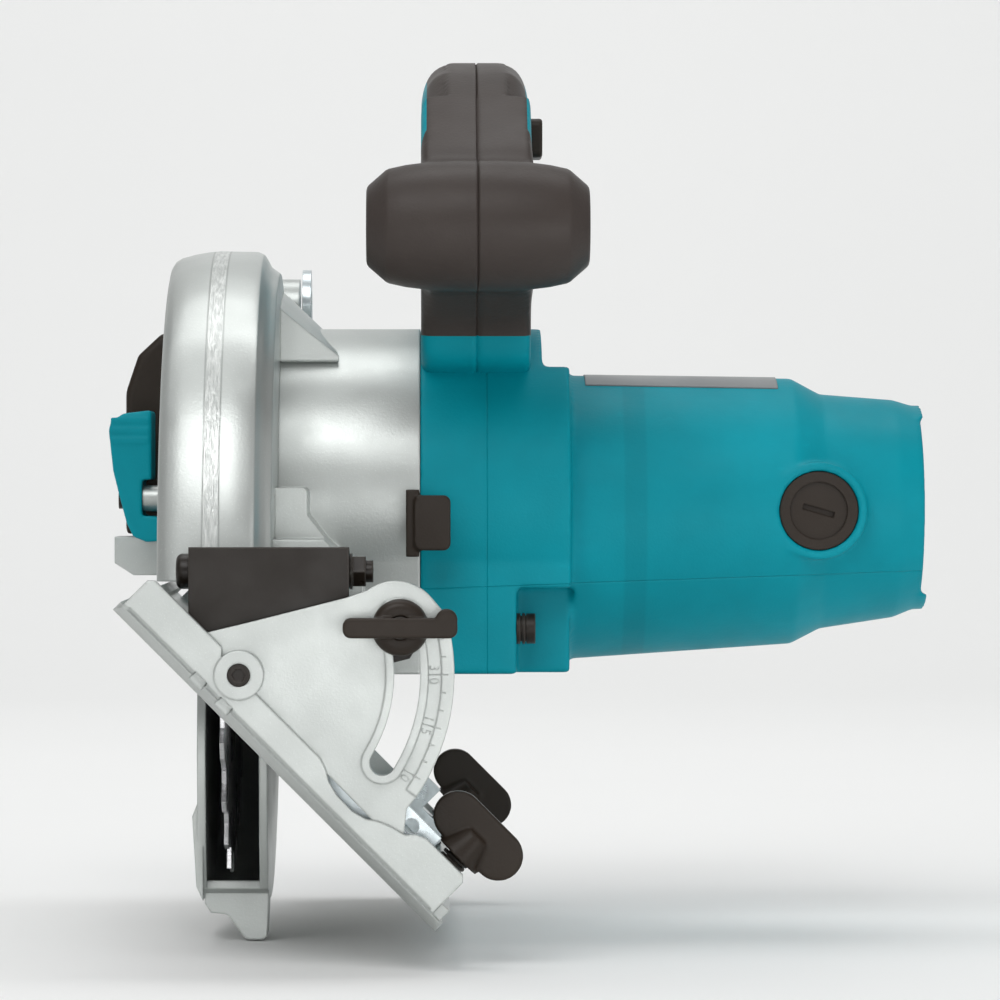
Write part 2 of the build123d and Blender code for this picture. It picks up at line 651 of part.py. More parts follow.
def guard_wall(hub_hole):
    """One flat side of the guard."""
    front = [polar(GUARD_R, GUARD_DEG[0]), (-33, -72), (-37, -46), (-34, -28), (-20.6, -9), (-20.0, 6)]
    back = [(-9.5, 19.5), (-5.1, 21.2), (8, 25), (24, 18), (52, 10), polar(GUARD_R, GUARD_DEG[1])]
    rim = ThreePointArc(polar(GUARD_R, GUARD_DEG[1]), polar(GUARD_R, -50), polar(GUARD_R, GUARD_DEG[0]))
    edge = Polyline(*front, *back)
    return make_face([edge, rim]) - Circle(hub_hole)


def lower_guard():
    """Swinging guard: two walls, a round rim, a nose lip and the lever arm."""
    x0, x1 = GUARD_X
    guard = side_plate(guard_wall(HUB_R + FIT), x1 - GUARD_WALL, x1)
    guard += side_plate(guard_wall(18.0), x0, x0 + GUARD_WALL)
    guard += side_plate(sector(GUARD_R - GUARD_WALL, GUARD_R, *GUARD_DEG), x0, x1)
    nose = front_plate(outline(NOSE), -22, -3)
    nose -= rod_x(GUARD_R - GUARD_WALL, -20, 20)
    flare = front_plate(outline([(-8.4, -60), (-10.0, -64), (-8.8, -84), (-6.9, -88), (-6.9, -60)]), -33, -14)
    guard += nose + flare
    a = LEVER_ANGLE
    y, z = polar(LEVER_SLOT_R, a)
    arm = side_plate(Rot(0, 0, a) * outline([(23, -3.6), (48, -3.6), (48, 3.6), (23, 3.6)]), x0, x0 + GUARD_WALL)
    stub = rod_x(3.9, STUB_X, x0 + 1, y, z)
    guard += arm + stub
    guard -= rod_x(1.6, STUB_X - 1, x0 - 1, y, z)
    return guard


LEVER_ANGLE = 36.0
STUB_X = -27.9


def guard_lever():
    """Moulded retracting lever outside the case, on the guard's stub."""
    y, z = polar(LEVER_SLOT_R, LEVER_ANGLE)
    x_in = CASE_X[0] - 0.9
    shape = Polyline((-25.1, 52), (-33.5, 51), (-37.2, 48.5), (-37.8, 46), (-36.5, 34), (-34.5, 26),
                     (-32.5, 18.5), (-30.5, 14.5), (-26.5, 12.9), (x_in, 13.6), (x_in, 19.6), (-25.1, 20.6),
                     close=True)
    body = front_plate(make_face(shape), 30.5, 52)
    body = fillet(body.edges().filter_by(Axis.Y), 0.9)
    body -= block(STUB_X - 0.05, 0, 20, 60, 20.6, 31.4)
    body -= rod_x(1.7, -60, 0, y, z)
    body -= rod_x(3.4, -60, -33.0, y, z)
    return body


def lever_screw():
    """Screw that holds the lever on the stub."""
    y, z = polar(LEVER_SLOT_R, LEVER_ANGLE)
    return rod_x(1.5, -33, CASE_X[0] + 4, y, z) + rod_x(3.1, -35.0, -33, y, z)


def guard_spring():
    """Return spring of the guard, wound round the hub inside the case wall."""
    return ring_x(21.8, 19.4, 11.9, 13.9)


def retaining_ring():
    """Ring that keeps the guard on the bearing box."""
    ring = ring_x(HUB_R + 1.6, HUB_R - 0.75, 7.95, 8.65)
    return ring - block(5, 10, -3, 3, 0, 30)


# ---------------------------------------------------------------- bracket, depth guide and bevel clamp
def front_bracket():
    """Black bent-steel bracket: a front plate and two ears on the depth pivot."""
    bx, bz = bevel_bolt_place()
    front = outline([(-7.2, 13.3), (-7.2, -5.0), (-4.5, -12), (-1.5, -21), (0.5, -25.0), (6.6, -27.6),
                     (13.0, -25.0), (30, -22), (52, -16.5), (57.5, -8), (56, -1.5), (50, 0.2), (35.8, -2.6),
                     (35.8, 13.3)])
    plate = front_plate(front, -112.0, -108.6)
    plate -= rod_y(HINGE_R + FIT, -114, -106, HINGE_X, HINGE_Z)
    plate -= rod_y(3.05, -114, -106, bx, bz)
    ear = outline([(-112, 13.3), (-106, 13.3), (-100.2, 10.2), (-100.2, 3.2), (-104, 2.2), (-112, 2.2)])
    ear += Pos(PIVOT_Y, PIVOT_Z) * Circle(4.5)
    ears = side_plate(ear, -7.2, -3.7) + side_plate(ear, 32.3, 35.8)
    bracket = plate + ears
    bracket -= rod_x(PIVOT_R + FIT, -10, 40, PIVOT_Y, PIVOT_Z)
    return bracket


def bevel_bolt_place():
    """X and Z of the bevel clamp bolt."""
    dx, dz = polar(SLOT_R, BEVEL_BOLT_DEG)
    return HINGE_X + dx, HINGE_Z + dz


def pivot_bolt():
    """Button-head bolt and its nut on the depth pivot."""
    bolt = rod_x(PIVOT_R, -7.25, 42.2, PIVOT_Y, PIVOT_Z)
    head = rod_x(4.8, -10.9, -7.25, PIVOT_Y, PIVOT_Z)
    head = fillet(head.faces().sort_by(Axis.X)[0].edges(), 1.8)
    head -= hex_x(3.6, -12, -9.0, PIVOT_Y, PIVOT_Z)
    return bolt + head


def pivot_nut():
    """Lock nut on the depth pivot."""
    nut = hex_x(8.0, 36.0, 40.2, PIVOT_Y, PIVOT_Z)
    nut += rod_x(4.9, 35.85, 36.6, PIVOT_Y, PIVOT_Z)
    return nut - rod_x(PIVOT_R + 0.02, 30, 50, PIVOT_Y, PIVOT_Z)


def hinge_pins():
    """Front and rear bevel hinge pins."""
    front = rod_y(HINGE_R, -120.8, -107.9, HINGE_X, HINGE_Z)
    front -= Pos(HINGE_X, -120.8, HINGE_Z) * Rot(90, 0, 0) * extrude(RegularPolygon(1.9, 6), 0.9, both=True)
    rear = rod_y(HINGE_R, 103.2, 114.5, HINGE_X, HINGE_Z)
    return front, rear


def depth_guide():
    """Curved depth guide with its slot, and the foot on the rear hinge pin."""
    arc = sector(GUIDE_R - 10.5, GUIDE_R + 10.5, -9.5, GUIDE_END_DEG)
    arc += Pos(*polar(GUIDE_R, GUIDE_END_DEG)) * Circle(10.5)
    arc -= arc_slot(GUIDE_R, 6.6, GUIDE_BOLT_DEG, GUIDE_END_DEG + 0.3)
    plate = side_plate(Pos(PIVOT_Y, PIVOT_Z) * arc, *GUIDE_X)
    foot_face = outline([(GUIDE_X[1], -10.0), (GUIDE_X[1], -23.0), (12, -27.0), (4, -27.6), (-0.4, -24.5),
                         (-0.6, -16.5), (3, -13.4), (10, -11.5)])
    foot = front_plate(foot_face, 104.2, 106.8)
    bend = side_plate(outline([(90, -24), (106.8, -24), (106.8, -9), (90, -9)]), *GUIDE_X)
    guide = plate + bend + foot
    return guide - rod_y(HINGE_R + 0.02, 100, 110, HINGE_X, HINGE_Z)


def bevel_bolt():
    """Carriage bolt that the bevel lever clamps."""
    bx, bz = bevel_bolt_place()
    return rod_y(3.0, -127.8, -108.4, bx, bz) + rod_y(6.5, -108.4, -106.0, bx, bz)


def bevel_washer():
    """Washer between the quadrant and the bevel lever."""
    bx, bz = bevel_bolt_place()
    return rod_y(7.2, -119.9, -118.4, bx, bz) - rod_y(3.05, -130, -100, bx, bz)


def bevel_lever():
    """Wing lever on the bevel bolt."""
    bx, bz = bevel_bolt_place()
    hub = rod_y(7.6, -125.2, -120.1, bx, bz)
    hub = fillet(hub.faces().sort_by(Axis.Y)[0].edges(), 2.6)
    bar = Pos(bx, -126.9, bz) * Box(30.4, 5.0, 5.4)
    bar = fillet(bar.edges().filter_by(Axis.Y), 2.2)
    tip = rod_y(2.9, -129.4, -124.6, bx + 12.3, bz + 2.2)
    lever = hub + bar + tip
    return lever - rod_y(3.05, -127.9, -100, bx, bz)


def depth_clamp():
    """Bolt, washer and lever that clamp the depth guide."""
    y, z = bolt_place()
    bolt = rod_x(3.0, 13.7, 31.5, y, z) + rod_x(5.2, 12.1, 13.8, y, z)
    washer = rod_x(8.0, GUIDE_X[1] + 0.05, GUIDE_X[1] + 1.5, y, z) - rod_x(3.05, 0, 40, y, z)
    hub_x = GUIDE_X[1] + 1.6
    lever = rod_x(7.0, hub_x, hub_x + 9, y, z)
    arm_face = outline([(y - 3.5, z - 5.5), (y + 5, z - 5), (y + 37, z + 13), (y + 39, z + 19), (y + 34, z + 21),
                        (y - 4, z + 6)])
    arm = side_plate(arm_face, hub_x + 2.5, hub_x + 8)
    lever = lever + arm - rod_x(3.05, 0, 31.6, y, z)
    return bolt, washer, lever


# ---------------------------------------------------------------- base
def base_plate():
    """Cast base with its rim, blade window and front quadrant, drawn flat about the hinge."""
    u0, u1 = BASE_U
    y0, y1 = BASE_Y
    top = SOLE_N + BASE_T
    plate = block(u0, u1, y0, y1, SOLE_N, top)
    plate = fillet(plate.edges().filter_by(Axis.Z), 7)
    plate -= block(WINDOW_U[0], WINDOW_U[1], WINDOW_Y[0], WINDOW_Y[1], SOLE_N - 1, 0)
    front = [(u0 + 1.2, -8.2), (u0 + 1.2, 0.6), (-33.5, RIM_N), (-8.5, RIM_N), (-6.0, -0.4), (31, -0.4), (34, -1.4),
             (37, -3.2), (41, -4.2), (47, -4.3), (51, -3.2), (54, -1.2), (57, 0), (61.5, 1.2), (63.5, 3.4), (66, 4.5),
             (79.8, 4.5), (81.2, 3.2), (81.2, -8.2)]
    rims = [
        front_plate(outline(front), y0, y0 + 4.2) - block(u0 + 3, 80, y0 - 1, y0 + 0.5, -8.3, -7.7),
        block(u0 + 1.2, u0 + 4.2, y0 + 2, y1 - 4, SOLE_N + 0.5, RIM_N - 7.5),
        block(u1 - 4.2, u1 - 1.2, y0 + 5, y1 - 5, SOLE_N + 0.5, RIM_N - 7),
        block(u0 + 6, u1 - 6, y1 - 4, y1 - 1, SOLE_N + 0.5, RIM_N - 2),
        block(50.0, 52.5, WINDOW_Y[0], y1 - 2, SOLE_N + 0.5, SOLE_N + 6.6),
    ]
    base = plate
    for rim in rims:
        base += rim
    base += block(u0 + 1.2, u1 - 4, y0 + 1.5, y0 + 4.2, SOLE_N, SOLE_N + 6)
    toe = Plane(origin=(u0 - 1, 0, 0), x_dir=(0, 1, 0), z_dir=(1, 0, 0)) * outline(
        [(y0 - 1, SOLE_N - 1), (y0 + 7.5, SOLE_N - 1), (y0 + 7.5, SOLE_N), (y0, SOLE_N + 3.4), (y0 - 1, SOLE_N + 3.6)])
    base -= extrude(toe, u1 - u0 + 2)
    for u in (-6.6, 3.0):
        base -= Pos(u, y0, SOLE_N + 2.2) * Box(4.6, 8, 4.4)
    for y in (y1 - 17.5,):
        ear = block(-6.6, 6.6, y, y + 5.0, top - 0.5, 0) + rod_y(6.6, y, y + 5.0)
        base += ear
    base -= rod_y(HINGE_R + FIT, y0 - 2, y0 + 8)
    base -= rod_y(HINGE_R + FIT, 100, 120)
    return to_base(base)


def quadrant():
    """Front quadrant of the base in its tilted place, with the bevel slot."""
    arc = [(HINGE_X + polar(QUAD_R, d)[0], HINGE_Z + polar(QUAD_R, d)[1]) for d in (16.0, -8.0, -34.5)]
    rim = ThreePointArc(*arc)
    path = Polyline(arc[2], (51.2, -56.5), (50.6, -62.5), (49.0, -66.5), (28.0, -45.0), (4.0, -21.0), (-12.0, -6.0),
                    (-6.0, -8.8), (-1.6, -9.3), (8.0, -7.0), (34.9, -0.2), (40.6, 1.8))
    peak = ThreePointArc((40.6, 1.8), (50.5, 4.2), (58.0, -0.2))
    corner = Line((58.0, -0.2), arc[0])
    face = make_face([rim, path, peak, corner])
    slot = Pos(HINGE_X, HINGE_Z) * arc_slot(SLOT_R, SLOT_W, -31.5, 19.5)
    plate = front_plate(face - slot, -116.6, -113.2)
    raised = front_plate(Pos(HINGE_X, HINGE_Z) * Circle(6.6), -121.2, -113.2)
    lip_face = (Pos(HINGE_X, HINGE_Z) * arc_slot(SLOT_R, SLOT_W + 4.4, -31.5, 19.5)) - slot
    plate += front_plate(lip_face & face, -118.2, -116.0)
    edge = Pos(HINGE_X, HINGE_Z) * sector(QUAD_R - 3.4, QUAD_R, -34.5, 16.0)
    plate += front_plate(edge, -117.4, -116.0)
    plate += raised
    return plate - rod_y(HINGE_R + FIT, -125, -110, HINGE_X, HINGE_Z)


def fence_guides():
    """Zinc-plated channels that hold a rip fence bar, front and rear."""
    guides = []
    for y, left in ((KNOB_Y[0], -31.5), (KNOB_Y[1], 57.0)):
        guide = block(left, 81.0, y - 6.6, y + 6.6, -8.7, -1.2) - block(-60, 90, y - 5.0, y + 5.0, -7.1, -2.7)
        guide += block(56.5, 69.5, y - 6.6, y - 5.2, -2.0, 6.8)
        guide -= rod_y(2.0, y - 8, y - 4, 61.5, 3.4)
        guide -= rod_z(2.6, -4, 4, KNOB_U, y)
        guides.append(guide)
    return [to_base(g) for g in guides]


def fence_knob(y):
    """Wing bolt square to the base."""
    hub = Pos(KNOB_U, y, 0) * Cone(7.0, 4.2, 8.0).moved(Pos(0, 0, 10.0))
    wing = Pos(KNOB_U, y, 14.0) * Box(15.2, 4.6, 13.5)
    for side in (-1, 1):
        wing += rod_y(6.75, y - 2.3, y + 2.3, KNOB_U + side * 7.6, 14.0)
    shank = rod_z(2.5, -2.9, 7.0, KNOB_U, y)
    return to_base(hub + wing + shank)


def fence_spring(y):
    """Spring under a wing bolt, drawn as its turns."""
    rings = []
    z0, z1 = -1.1, 5.9
    pitch = (z1 - z0) / 4
    for k in range(4):
        z = z0 + pitch * (k + 0.5)
        rings.append(to_base(Pos(KNOB_U, y, z) * Torus(3.5, 0.55)))
    return rings


# ---------------------------------------------------------------- fasteners and small pieces
def housing_screws():
    """Four long screws that join the housings; the front lower one shows in its pocket."""
    screws = []
    for y, z in HOUSING_SCREWS:
        screw = rod_x(2.15, 39, 82.05, y, z) + rod_x(4.4, 82.05, 83.1, y, z) + rod_x(3.7, 83.0, 83.7, y, z)
        screw += rod_x(4.4, 83.7, 84.5, y, z) + rod_x(3.8, 84.4, 84.9, y, z) + rod_x(4.3, 84.9, 87.4, y, z)
        screw -= hex_x(3.4, 85.4, 88, y, z)
        screws.append(screw)
    return screws


def shaft_lock():
    """Black lever that stops the spindle, on the front of the gear housing."""
    plate = block(53.0, 63.2, -39.6, -36.9, 11.4, 27.0)
    plate = fillet(plate.edges().filter_by(Axis.Y), 2.0)
    rail = block(50.6, 54.4, -38.6, -36.9, 9.6, 28.6)
    stem = block(56.0, 60.5, -37.0, -22.8, 15, 23) + block(56.0, 60.5, -24.3, -22.8, 13, 25)
    return plate + rail + stem


def small_screws():
    """Screws of the handle, the case and the nozzle."""
    handle = []
    for y, z in HANDLE_SCREWS:
        x1 = HANDLE_X + HANDLE_W / 2
        handle.append(rod_x(2.0, x1 - 25, x1 - 4, y, z) + rod_x(4.0, x1 - 4, x1 - 1.4, y, z))
    case = []
    for y, z in CASE_SCREWS:
        case.append(rod_x(2.1, 12.05, 18.1, y, z) + rod_x(3.6, 12.05, 12.9, y, z))
    return handle, case


def guard_stop():
    """Rubber stop on the bearing box that the closed guard's front edge meets."""
    return rod_x(2.4, 9.0, 14.35, -23.4, -7.3)


def build():
    """Make every node."""
    keep("blade_case", blade_case())
    keep("gear_housing", gear_housing())
    keep("bearing_box", bearing_box())
    keep("shaft_bearings", *spindle_bearings())
    keep("dust_nozzle", dust_nozzle())
    keep("motor_housing", motor_housing())
    keep("label_plate", label_plate())
    keep("armature", armature())
    keep("armature_windings", *windings())
    keep("commutator", commutator())
    keep("cooling_fan", fan())
    keep("stator_core", stator())
    keep("field_coils", *field_coils())
    keep("baffle_plate", baffle_plate())
    holders, carbons, caps = brush_gear()
    keep("brush_holders", *holders)
    keep("carbon_brushes", *carbons)
    keep("brush_caps", *caps)
    left, right, soft_left, soft_right = handle_parts()
    keep("handle_left", left)
    keep("handle_right", right)
    keep("grip_left", soft_left)
    keep("grip_right", soft_right)
    keep("trigger", trigger())
    keep("switch_body", switch_body())
    keep("lock_off_button", lock_off_button())
    keep("cord_gland", cord_gland())
    keep("spindle", spindle())
    keep("helical_gear", helical_gear())
    keep("saw_blade", blade())
    inner, outer = flanges()
    keep("inner_flange", inner)
    keep("outer_flange", outer)
    keep("blade_bolt", blade_bolt())
    keep("lower_guard", lower_guard())
    keep("guard_lever", guard_lever())
    keep("guard_lever_screw", lever_screw())
    keep("guard_spring", guard_spring())
    keep("retaining_ring", retaining_ring())
    keep("guard_stop", guard_stop())
    keep("front_bracket", front_bracket())
    keep("pivot_bolt", pivot_bolt())
    keep("pivot_nut", pivot_nut())
    front_pin, rear_pin = hinge_pins()
    keep("front_hinge_pin", front_pin)
    keep("rear_hinge_pin", rear_pin)
    keep("depth_guide", depth_guide())
    keep("bevel_bolt", bevel_bolt())
    keep("bevel_washer", bevel_washer())
    keep("bevel_lever", bevel_lever())
    bolt, washer, lever = depth_clamp()
    keep("depth_bolt", bolt)
    keep("depth_washer", washer)
    keep("depth_lever", lever)
    keep("base_plate", base_plate() + quadrant())
    keep("fence_guides", *fence_guides())
    keep("fence_knob_front", fence_knob(KNOB_Y[0]))
    keep("fence_knob_rear", fence_knob(KNOB_Y[1]))
    keep("fence_springs", *fence_spring(KNOB_Y[0]), *fence_spring(KNOB_Y[1]))
    keep("housing_screws", *housing_screws())
    keep("shaft_lock", shaft_lock())
    handle, case = small_screws()
    keep("handle_screws", *handle)
    keep("case_screws", *case)


def frame_shift():
    """The move that puts the middle of the underside of the whole box at the origin."""
    boxes = [shape.bounding_box() for shape in PARTS.values()]
    low_x, high_x = min(b.min.X for b in boxes), max(b.max.X for b in boxes)
    low_y, high_y = min(b.min.Y for b in boxes), max(b.max.Y for b in boxes)
    low_z = min(b.min.Z for b in boxes)
    return Vector(-(low_x + high_x) / 2, -(low_y + high_y) / 2, -low_z)


def save_all():
    """Write one STEP file per node, in the final frame."""
    os.makedirs("parts", exist_ok=True)
    shift = frame_shift()
    print("shift", shift.X, shift.Y, shift.Z)
    for name, shape in PARTS.items():
        export_step(shape.moved(Location(shift)), f"parts/{name}.step")


build()
save_all()
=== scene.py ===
"""Looks of the hinged-base circular saw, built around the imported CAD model."""
import json
import math

import bmesh
import bpy
from mathutils import Matrix, Vector

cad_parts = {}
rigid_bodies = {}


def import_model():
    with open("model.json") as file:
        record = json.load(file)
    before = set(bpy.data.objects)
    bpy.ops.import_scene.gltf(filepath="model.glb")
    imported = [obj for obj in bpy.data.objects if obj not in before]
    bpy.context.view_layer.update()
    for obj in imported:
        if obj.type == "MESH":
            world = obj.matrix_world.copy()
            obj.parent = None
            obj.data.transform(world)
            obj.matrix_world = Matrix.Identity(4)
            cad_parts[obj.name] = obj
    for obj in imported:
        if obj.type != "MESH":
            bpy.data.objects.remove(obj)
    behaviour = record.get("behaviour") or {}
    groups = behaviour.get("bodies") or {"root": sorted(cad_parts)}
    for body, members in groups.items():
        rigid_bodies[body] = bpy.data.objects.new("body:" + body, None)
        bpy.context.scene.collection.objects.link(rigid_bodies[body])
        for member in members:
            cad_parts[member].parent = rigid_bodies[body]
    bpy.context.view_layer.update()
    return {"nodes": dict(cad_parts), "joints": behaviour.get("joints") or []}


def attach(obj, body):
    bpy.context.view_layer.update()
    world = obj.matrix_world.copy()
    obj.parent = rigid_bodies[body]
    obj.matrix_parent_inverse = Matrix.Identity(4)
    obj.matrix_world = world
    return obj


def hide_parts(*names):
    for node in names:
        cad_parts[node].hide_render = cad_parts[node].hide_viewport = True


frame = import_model()
NODES = frame["nodes"]
SPINDLE = Vector(next(j for j in frame["joints"] if j["name"] == "blade_spin")["pos_m"])


def D(x, y, z):
    """A point given in millimetres from the spindle axis in the blade's plane."""
    return SPINDLE + Vector((x, y, z)) / 1000


BEVEL_HINGE = (6.6, -20.6)  # X and Z of the bevel hinge, in millimetres like all places below
GRIP_CENTRE = (-65.0, 101.6)  # Y and Z of the front barrel grip
KNOB_U = 76.3  # the wing bolts' place across the base, from the bevel hinge
KNOB_Y = {"front": -100.0, "rear": 111.0}
SCALE_R = 51.9  # middle of the numbers round the bevel quadrant
TICK_R = 54.6
QUADRANT_Y = -116.7  # just ahead of the quadrant's face
RIM_Y = -117.45


# ---------------------------------------------------------------- materials
class Shader:
    """A node material with a principled shader and short calls for its textures."""

    def __init__(self, name, base, rough, metal=0.0, spec=0.5):
        self.mat = bpy.data.materials.new(name)
        self.mat.use_nodes = True
        self.tree = self.mat.node_tree
        self.bsdf = self.tree.nodes["Principled BSDF"]
        self.bsdf.inputs["Base Color"].default_value = (*base, 1)
        self.bsdf.inputs["Roughness"].default_value = rough
        self.bsdf.inputs["Metallic"].default_value = metal
        self.bsdf.inputs["Specular IOR Level"].default_value = spec
        self.coords = self.node("ShaderNodeTexCoord").outputs["Object"]
        self.normal = None

    def node(self, kind, **values):
        n = self.tree.nodes.new(kind)
        for key, value in values.items():
            if key in n.inputs:
                if isinstance(value, bpy.types.NodeSocket):
                    self.tree.links.new(value, n.inputs[key])
                else:
                    n.inputs[key].default_value = value
            else:
                setattr(n, key, value)
        return n

    def link(self, a, b):
        self.tree.links.new(a, b)

    def scaled(self, x, y, z):
        """Object coordinates stretched by a factor for each axis."""
        n = self.node("ShaderNodeMapping", Vector=self.coords)
        n.inputs["Scale"].default_value = (x, y, z)
        return n.outputs["Vector"]

    def noise(self, scale, detail=3.0, vector=None, rough=0.55):
        n = self.node("ShaderNodeTexNoise", Vector=vector or self.coords, Scale=scale, Detail=detail,
                      Roughness=rough)
        return n.outputs["Fac"]

    def remap(self, value, low, high, to_low=0.0, to_high=1.0):
        n = self.node("ShaderNodeMapRange", Value=value)
        n.inputs["From Min"].default_value = low
        n.inputs["From Max"].default_value = high
        n.inputs["To Min"].default_value = to_low
        n.inputs["To Max"].default_value = to_high
        return n.outputs["Result"]

    def math(self, op, a, b=0.0):
        n = self.node("ShaderNodeMath", operation=op)
        for k, v in enumerate((a, b)):
            if isinstance(v, bpy.types.NodeSocket):
                self.link(v, n.inputs[k])
            else:
                n.inputs[k].default_value = v
        return n.outputs["Value"]

    def mix(self, fac, a, b):
        """Colour a to b by fac; a and b are colours or sockets."""
        n = self.node("ShaderNodeMix", data_type="RGBA")
        for key, v in ((0, fac), (6, a), (7, b)):
            if isinstance(v, bpy.types.NodeSocket):
                self.link(v, n.inputs[key])
            elif key == 0:
                n.inputs[key].default_value = v
            else:
                n.inputs[key].default_value = (*v, 1)
        return n.outputs[2]

    def colour(self, socket):
        self.link(socket, self.bsdf.inputs["Base Color"])

    def roughness(self, socket):
        self.link(socket, self.bsdf.inputs["Roughness"])

    def bump(self, height, distance, strength=1.0):
        n = self.node("ShaderNodeBump", Height=height)
        n.inputs["Distance"].default_value = distance
        n.inputs["Strength"].default_value = strength
        if self.normal is not None:
            self.link(self.normal, n.inputs["Normal"])
        self.normal = n.outputs["Normal"]
        self.link(self.normal, self.bsdf.inputs["Normal"])

    def round_edges(self, radius, samples=4):
        """Soft edges, read from the geometry near each point."""
        n = self.node("ShaderNodeBevel")
        n.samples = samples
        n.inputs["Radius"].default_value = radius
        self.rounded = self.normal = n.outputs["Normal"]
        self.link(self.normal, self.bsdf.inputs["Normal"])

    def distance_to(self, normal, offset):
        """Distance from the plane whose unit normal times position is offset."""
        n = self.node("ShaderNodeVectorMath", operation="DOT_PRODUCT")
        self.link(self.coords, n.inputs[0])
        n.inputs[1].default_value = normal
        return self.math("ABSOLUTE", self.math("SUBTRACT", n.outputs["Value"], offset))

    def groove(self, normal, offset, width, depth):
        """A fine line pressed into the surface where it meets a plane."""
        self.bump(self.remap(self.distance_to(normal, offset), 0.0, width / 2), depth, 1.0)

    def edge_mask(self):
        """Near 1 on rounded edges: wear on the silver casting, a painted highlight on the blackened steel."""
        n = self.node("ShaderNodeVectorMath", operation="DOT_PRODUCT")
        self.link(self.rounded, n.inputs[0])
        self.link(self.node("ShaderNodeNewGeometry").outputs["Normal"], n.inputs[1])
        return self.remap(n.outputs["Value"], 0.985, 0.86)


def tone(colour, factor):
    return tuple(min(1.0, c * factor) for c in colour)


def painted_cast(name, base=(0.49, 0.515, 0.50), rough=0.36):
    """Silver-painted aluminium casting: fine sparkle, faint casting skin, brighter worn edges."""
    s = Shader(name, base, rough, metal=0.7, spec=0.4)
    s.round_edges(0.0008)
    cloud = s.noise(22, 4)
    speck = s.noise(2600, 2)
    body = s.mix(s.remap(cloud, 0.3, 0.7), tone(base, 0.93), tone(base, 1.05))
    body = s.mix(s.remap(speck, 0.62, 0.75), body, tone(base, 1.22))
    s.colour(s.mix(s.math("MULTIPLY", s.edge_mask(), 0.8), body, tone(base, 1.2)))
    s.roughness(s.remap(s.noise(60, 5), 0.3, 0.7, rough - 0.05, rough + 0.08))
    s.bump(s.noise(1300, 3), 0.00008, 0.5)
    return s


def ground_cast(name):
    """The casting with a coarsely ground band round the rim, between two fine lines."""
    s = painted_cast(name)
    middle = s.distance_to((1, 0, 0), D(-2.1, 0, 0).x)
    band = s.remap(middle, 0.0019, 0.0023, 1.0, 0.0)
    line = s.remap(s.math("ABSOLUTE", s.math("SUBTRACT", middle, 0.0023)), 0.0001, 0.00035, 1.0, 0.0)
    streak = s.remap(s.noise(240, 4, s.scaled(6, 1, 1)), 0.35, 0.65)
    painted = s.bsdf.inputs["Base Color"].links[0].from_socket
    ground = s.mix(streak, (0.42, 0.44, 0.43), (0.82, 0.84, 0.82))
    body = s.mix(s.math("MULTIPLY", band, 0.55), painted, ground)
    s.colour(s.mix(s.math("MULTIPLY", line, 0.45), body, (0.16, 0.17, 0.165)))
    s.bump(s.math("MULTIPLY", streak, band), 0.00016, 0.7)
    return s


def moulded(name, base, rough, texture=1400, depth=0.00008, spec=0.22):
    """Moulded plastic or rubber with a fine eroded texture and handling polish."""
    s = Shader(name, base, rough, spec=spec)
    s.round_edges(0.0006)
    cloud = s.noise(30, 4)
    body = s.mix(s.remap(cloud, 0.3, 0.7), tone(base, 0.9), tone(base, 1.1))
    scuff = s.remap(s.noise(90, 6, s.scaled(1, 1, 4)), 0.66, 0.78)
    s.colour(s.mix(s.math("MULTIPLY", scuff, 0.12), body, tone(base, 1.8)))
    s.roughness(s.remap(s.noise(45, 4), 0.3, 0.7, rough - 0.06, rough + 0.07))
    s.bump(s.noise(texture, 2), depth, 0.6)
    return s


def housing_plastic(name):
    """The motor housing's plastic, with its parting lines and a painted shade band for the shallow step behind the
    label.
    """
    s = moulded(name, TEAL, 0.48, spec=0.13)
    s.groove((-0.033, 0, 1), D(75, 0, 0.9).z - 0.033 * D(75, 0, 0).x, 0.0006, 0.0002)
    s.groove((1, 0, 0), D(73.6, 0, 0).x, 0.0006, 0.0002)
    # painted shade: a darker band stands in for the shade of the shallow step behind the label
    band = s.remap(s.distance_to((1, 0, 0), D(116.3, 0, 0).x), 0.0028, 0.0036, 0.28, 0.0)
    s.colour(s.mix(band, s.bsdf.inputs["Base Color"].links[0].from_socket, tone(TEAL, 0.62)))
    return s


def black_steel(name="blackened_steel"):
    s = Shader(name, (0.014, 0.010, 0.007), 0.28, spec=0.3)
    s.round_edges(0.0009)
    # painted highlight: rounded edges and bends of the blackened steel are lightened as if catching the light
    s.colour(s.mix(s.math("MULTIPLY", s.edge_mask(), 0.7), (0.014, 0.010, 0.007), (0.09, 0.08, 0.07)))
    s.roughness(s.remap(s.noise(80, 4), 0.3, 0.7, 0.26, 0.42))
    s.bump(s.noise(700, 3), 0.00006, 0.5)
    return s


def bare_steel(name, base, rough, stretch=(1, 1, 1), bright=1.25):
    """Machined, ground or plated steel with fine directional lines."""
    s = Shader(name, base, rough, metal=1.0)
    s.round_edges(0.0004)
    lines = s.noise(300, 3, s.scaled(*stretch))
    s.colour(s.mix(s.remap(lines, 0.3, 0.7), tone(base, 0.82), tone(base, 1.1)))
    s.roughness(s.remap(s.noise(50, 5), 0.3, 0.7, rough - 0.06, rough + 0.1))
    s.bump(lines, 0.00004, 0.5)
    return s


